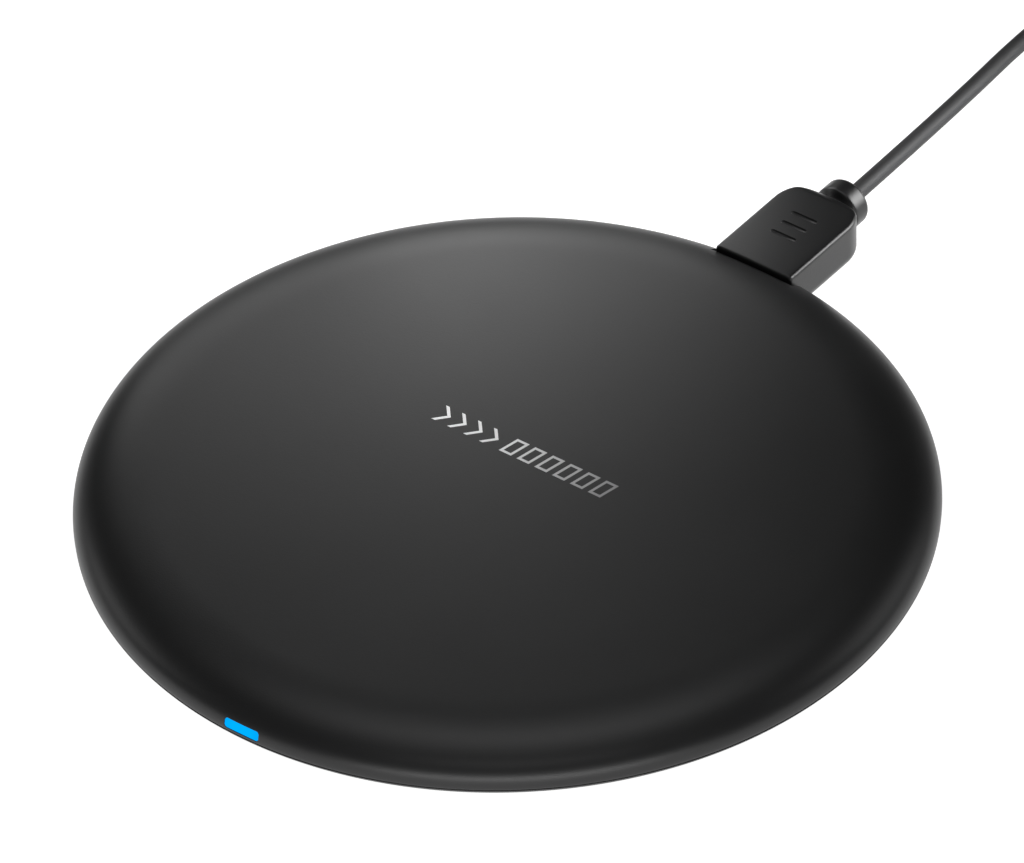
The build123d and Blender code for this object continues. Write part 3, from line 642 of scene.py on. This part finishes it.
def make_overmold():
    W, H = PLUG_W / 2, PLUG_H / 2
    RT, RL = PLUG_RT, PLUG_RL
    secs = []

    def add(y, w, h, rt, rl=None, crown=0.0, dz=0.0):
        rl = rt if rl is None else rl
        secs.append([(PORT_X + x, y, PORT_Z + dz + z) for x, z in section(w, h, rt, rl, crown=crown)])

    crown = 0.06
    # front face with its small edge radius
    e = 0.28
    for t in np.linspace(0, math.pi / 2, 7):
        d = e * (1 - math.sin(t))
        add(PLUG_FRONT_Y + e * (1 - math.cos(t)), W - d, H - d, RT - d * 0.5, RL - d * 0.5, crown)
    for y in np.linspace(PLUG_FRONT_Y + 0.55, SHOULDER_Y, 26):
        add(y, W, H, RT, RL, crown)
    # shoulders round in; the top and underside roll down towards the neck at the last
    ly = BODY_END_Y - SHOULDER_Y
    w_end, h_end = W - SHOULDER_X, H - 0.55
    for t in np.linspace(0.05, 1.0, 30):
        a = t * math.pi / 2
        y = SHOULDER_Y + ly * math.sin(a)
        w = W - SHOULDER_X * (1 - math.cos(a))
        s = smooth01((t - 0.45) / 0.55)
        hh = H + (h_end - H) * s
        add(y, w, hh, RT + (w_end * 0.85 - RT) * s, RL + (w_end * 0.95 - RL) * s, crown * (1 - t))
    # neck hollow, then up into the collar
    y_neck = BODY_END_Y + 0.34
    for t in np.linspace(0.2, 1.0, 8):
        s = math.sin(t * math.pi / 2)
        w = w_end + (NECK_R - w_end) * s
        h = h_end + (NECK_R - h_end) * s
        add(BODY_END_Y + (y_neck - BODY_END_Y) * t, w, h, w_end * 0.85 + (NECK_R - w_end * 0.85) * s, w_end * 0.95 + (NECK_R - w_end * 0.95) * s)
    for t in np.linspace(0.1, 1.0, 12):
        s = 1 - math.cos(t * math.pi / 2) if t < 0.5 else math.sin(t * math.pi / 2) * 0.0 + smooth01(t)
        s = smooth01(t)
        rr = NECK_R + (COLLAR_R - NECK_R) * s
        add(y_neck + (COLLAR_Y0 + 0.2 - y_neck) * t, rr, rr, rr)
    for y in (64.9, 65.4, 65.9, 66.3):
        add(y, COLLAR_R, COLLAR_R, COLLAR_R)
    e2 = 0.6
    for t in np.linspace(0, math.pi / 2, 9):
        rr = COLLAR_R - e2 * (1 - math.cos(t))
        add(COLLAR_Y1 - e2 + e2 * math.sin(t), rr, rr, rr)
    # end face sinks slightly to the cord's hole
    for rr, dy in ((1.7, 0.0), (1.32, 0.02), (1.2, 0.10), (1.12, 0.35)):
        add(COLLAR_Y1 - dy, rr, rr, rr)
    v, f = loft(secs)
    ob = new_mesh("plug_body", v, f, "plug", sharp_deg=60)
    # three sunk grip bars
    for k in range(3):
        y = 53.6 + 2.1 * k
        ring = [[(PORT_X + x, y + yy, z) for x, yy in rounded_loop(3.7 * s, 0.62 * s2, 0.3, 6)]
                for z, s, s2 in ((PORT_Z + H - 0.20, 0.93, 0.45), (PORT_Z + H - 0.15, 0.96, 0.72), (PORT_Z + H - 0.07, 0.985, 0.92), (PORT_Z + H + 0.02, 1.0, 1.05), (PORT_Z + H + 1.0, 1.0, 1.05))]
        vv, ff = loft(ring)
        me = bpy.data.meshes.new("g")
        me.from_pydata([tuple(c * MM for c in p) for p in vv], [], ff)
        c = bpy.data.objects.new("g", me)
        scene.collection.objects.link(c)
        bm = bmesh.new()
        bm.from_mesh(me)
        bmesh.ops.recalc_face_normals(bm, faces=bm.faces)
        bm.to_mesh(me)
        bm.free()
        boolean(ob, c, "DIFFERENCE")
    # opening for the metal nose
    boolean(ob, prism_y("o", rounded_loop(6.86, 1.82, 0.35, 4), PORT_X, PORT_Z, 46.0, 51.4), "DIFFERENCE")
    clean(ob, sharp_deg=42)
    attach(ob, "cable")
    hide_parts("micro_plug_overmold")
    return ob


plug_body = make_overmold()


# ================================================================= far plug body
def make_usb_a():
    W, H = A_BODY_W / 2, A_BODY_H / 2
    secs = []

    def add(x, w, h, r, crown=0.0):
        secs.append([(x, A_Y + a, A_Z + b) for a, b in section(w, h, r, None, crown=crown)])

    x0, x1 = A_REAR_X, A_REAR_X + A_BODY_L
    for rr, dx in ((1.12, 0.35), (1.2, 0.10), (1.32, 0.02), (1.7, 0.0)):
        add(x0 - 4.0 + dx, rr, rr, rr)
    for t in np.linspace(0, math.pi / 2, 8):
        rr = 2.8 - 0.55 * (1 - math.sin(t))
        add(x0 - 4.0 + 0.55 * (1 - math.cos(t)), rr, rr, rr)
    for x in (x0 - 2.8, x0 - 2.0):
        add(x, 2.8, 2.8, 2.8)
    for t in np.linspace(0.15, 1.0, 6):
        rr = 2.8 - 0.3 * smooth01(t)
        add(x0 - 2.0 + 1.2 * t, rr, rr, rr)
    for t in np.linspace(0.0, 1.0, 22)[1:]:
        a = t * math.pi / 2
        s = math.sin(a)
        w = 2.5 + (W - 2.5) * s ** 0.9
        h = 2.5 + (H - 2.5) * smooth01(t * 1.6)
        r = 2.5 + (1.5 - 2.5) * smooth01(t * 1.2)
        add(x0 - 0.8 + 5.0 * (1 - math.cos(a)), w, h, min(r, w, h), 0.12 * t)
    for x in np.linspace(x0 + 5.0, x1 - 0.5, 20):
        add(x, W, H, 1.5, 0.12)
    for t in np.linspace(0.1, math.pi / 2, 7):
        d = 0.4 * (1 - math.cos(t))
        add(x1 - 0.4 + 0.4 * math.sin(t), W - d, H - d, 1.5 - d * 0.5, 0.12)
    v, f = loft(secs)
    ob = new_mesh("far_plug_body", v, f, "plug", sharp_deg=60)
    for k in range(4):
        x = x0 + 9.0 + 2.6 * k
        ring = [[(x + yy, A_Y + xx, z) for xx, yy in rounded_loop(7.2 * s, 0.8 * s2, 0.35, 6)]
                for z, s, s2 in ((A_Z + H - 0.25, 0.97, 0.75), (A_Z + H - 0.1, 0.99, 0.92), (A_Z + H + 0.03, 1.0, 1.0), (A_Z + H + 1.0, 1.0, 1.0))]
        vv, ff = loft(ring)
        me = bpy.data.meshes.new("g")
        me.from_pydata([tuple(c * MM for c in p) for p in vv], [], ff)
        c = bpy.data.objects.new("g", me)
        scene.collection.objects.link(c)
        bm = bmesh.new()
        bm.from_mesh(me)
        bmesh.ops.recalc_face_normals(bm, faces=bm.faces)
        bm.to_mesh(me)
        bm.free()
        boolean(ob, c, "DIFFERENCE")
    loop = rounded_loop(12.02, 4.52, 0.4, 4)
    sec = [[(x, A_Y + a, A_Z + b) for a, b in loop] for x in (x1 - 5.9, x1 + 1.0)]
    vv, ff = loft(sec)
    me = bpy.data.meshes.new("o")
    me.from_pydata([tuple(c * MM for c in p) for p in vv], [], ff)
    c = bpy.data.objects.new("o", me)
    scene.collection.objects.link(c)
    bm = bmesh.new()
    bm.from_mesh(me)
    bmesh.ops.recalc_face_normals(bm, faces=bm.faces)
    bm.to_mesh(me)
    bm.free()
    boolean(ob, c, "DIFFERENCE")
    clean(ob, sharp_deg=42)
    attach(ob, "cable")
    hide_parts("usb_a_overmold")
    return ob


far_body = make_usb_a()


# ================================================================= coil straps
def make_ties():
    """Two flat straps round the bundle."""
    b_in, b_out = COIL_COLS[-1] - CORD_D / 2, COIL_COLS[0] + CORD_D / 2
    b_z0, b_z1 = COIL_ROWS[0] - CORD_D / 2, COIL_ROWS[-1] + CORD_D / 2
    cr, cz = (b_in + b_out) / 2, (b_z0 + b_z1) / 2
    obs = []
    for k, deg in enumerate((110.0, 215.0)):
        verts, faces = [], []
        inner = rounded_loop(b_out - b_in + 0.04, b_z1 - b_z0 + 0.04, 1.0, 8)
        outer = rounded_loop(b_out - b_in + 1.34, b_z1 - b_z0 + 1.34, 1.62, 8)
        n = len(inner)
        rings = []
        hw = 2.5
        prof = [(0.0, -hw + 0.12), (0.12, -hw), (0.88, -hw), (1.0, -hw + 0.12), (1.0, hw - 0.12), (0.88, hw), (0.12, hw), (0.0, hw - 0.12)]
        for i in range(n):
            ix, iz = inner[i]
            ox, oz = outer[i]
            ring = []
            for s, t in prof:
                ring.append((cr + ix + (ox - ix) * s, t, cz + iz + (oz - iz) * s))
            rings.append(ring)
        m = len(prof)
        for ring in rings:
            verts += ring
        for i in range(n):
            for j in range(m):
                a, b = i * m + j, i * m + (j + 1) % m
                c, d = ((i + 1) % n) * m + (j + 1) % m, ((i + 1) % n) * m + j
                faces.append((a, b, c, d))
        base = len(verts)
        th, zt = 0.0, cz + (b_z1 - b_z0) / 2 + 0.67
        ca, sa = math.cos(math.radians(deg)), math.sin(math.radians(deg))
        out = []
        for x, y, z in verts:
            out.append((COIL_C[0] + x * ca - y * sa, COIL_C[1] + x * sa + y * ca, z))
        ob = new_mesh("coil_strap_%d" % (k + 1), out, faces, "tie", sharp_deg=45)
        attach(ob, "cable")
        obs.append(ob)
    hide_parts("coil_ties")
    return obs


ties = make_ties()

# ================================================================= cord material and declaration
cord.data.materials.append(M["cord"].m)
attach(cord, "cable")
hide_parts("cord_run", "cord_coil", "cord_tail")

# ================================================================= carried-over nodes
CAD_MATERIALS = {
    "case_screws": "steel", "board_screws": "steel", "coil_adhesive": "tape", "ferrite_tape": "tape", "charging_coil": "copper",
    "coil_leads": "copper", "ferrite_sheet": "ferrite", "thermistor": "black_part", "circuit_board": "board", "board_pad": "foam",
    "controller_chip": "black_part", "bridge_mosfets": "black_part", "resonant_capacitors": "ceramic", "input_capacitors": "ceramic",
    "power_inductor": "ferrite", "crystal": "plate", "chip_resistors": "black_part", "status_leds": "led_body",
    "receptacle_shell": "plate", "receptacle_tongue": "nylon", "receptacle_contacts": "gold", "micro_plug_shell": "plate",
    "micro_plug_latches": "plate", "micro_plug_insulator": "nylon", "micro_plug_contacts": "gold", "micro_plug_inner_mould": "natural",
    "usb_a_shell": "plate", "usb_a_insulator": "nylon", "usb_a_contacts": "gold"}
for node, key in CAD_MATERIALS.items():
    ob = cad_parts[node]
    ob.data.materials.clear()
    ob.data.materials.append(M[key].m)

# ================================================================= stage
def make_stage():
    me = bpy.data.meshes.new("floor")
    s = 6.0
    me.from_pydata([(-s, -s, -0.00005), (s, -s, -0.00005), (s, s, -0.00005), (-s, s, -0.00005)], [], [(0, 1, 2, 3)])
    ob = bpy.data.objects.new("floor", me)
    scene.collection.objects.link(ob)
    k = Mat("floor_pale")
    k.p.inputs["Base Color"].default_value = (0.30, 0.30, 0.30, 1)
    k.set(Roughness=0.9)
    k.p.inputs["Specular IOR Level"].default_value = 0.0
    k.p.inputs["Emission Color"].default_value = (1, 1, 1, 1)
    k.p.inputs["Emission Strength"].default_value = FLOOR_GLOW
    ob.data.materials.append(k.m)


FLOOR_GLOW = 1.0
make_stage()


def area(name, loc, target, size, power, spread=180.0):
    d = bpy.data.lights.new(name, "AREA")
    d.shape = "RECTANGLE"
    d.size, d.size_y = size[0], size[1]
    d.energy = power
    d.spread = math.radians(spread)
    ob = bpy.data.objects.new(name, d)
    scene.collection.objects.link(ob)
    ob.visible_camera = False
    loc, target = Vector(loc), Vector(target)
    ob.location = loc
    ob.rotation_mode = "QUATERNION"
    ob.rotation_quaternion = (target - loc).to_track_quat("-Z", "Y")
    return ob


def aimed(name, az, el, dist, size, power, target=(0.0, 0.0, 0.005)):
    """Light in direction az (0 is +X, 90 is +Y) and elevation el from the target, metres."""
    a, e = math.radians(az), math.radians(el)
    t = Vector(target)
    loc = t + Vector((math.cos(a) * math.cos(e), math.sin(a) * math.cos(e), math.sin(e))) * dist
    return area(name, loc, t, size, power)


LIGHTS = [      # name, azimuth, elevation, distance, size, power
    ("back_left_strip", 145.0, 22.0, 0.125, (0.09, 0.03), 0.0206),
    ("overhead_back", 128.6, 74.0, 0.45, (0.30, 0.12), 0.2232),
    ("overhead", 128.6, 88.0, 0.45, (0.30, 0.20), 0.1469),
    ("overhead_front", -51.4, 58.0, 0.45, (0.30, 0.12), 0.1382),
    ("left_box", 200.0, 20.0, 0.35, (0.20, 0.10), 0.1038),
    ("right_box", 50.0, 25.0, 0.35, (0.20, 0.15), 0.1214),
    ("front_low_strip", -51.4, 6.0, 0.40, (0.50, 0.05), 0.8445),
]
for row in LIGHTS:
    aimed(*row)

# Small soft boxes near the plug's end: (name, place mm, aimed at mm, size m, W, spread)
PANELS = [
    ("plug_left_box", (-52.0, 78.0, 42.0), (-12.0, 48.0, 7.0), (0.05, 0.03), 0.011, 180.0),
    ("plug_high_box", (-70.0, 60.0, 60.0), (-20.0, 30.0, 7.0), (0.05, 0.03), 0.004, 180.0),
    ("collar_box", (40.0, 110.0, 30.0), (0.0, 75.0, 4.0), (0.05, 0.05), 0.016, 70.0),
]
for name, place, to, size, power, spread in PANELS:
    area(name, Vector(place) * MM, Vector(to) * MM, size, power, spread)

world = bpy.data.worlds.new("studio")
scene.world = world
world.use_nodes = True
world.node_tree.nodes["Background"].inputs["Color"].default_value = (1, 1, 1, 1)
world.node_tree.nodes["Background"].inputs["Strength"].default_value = 0.0
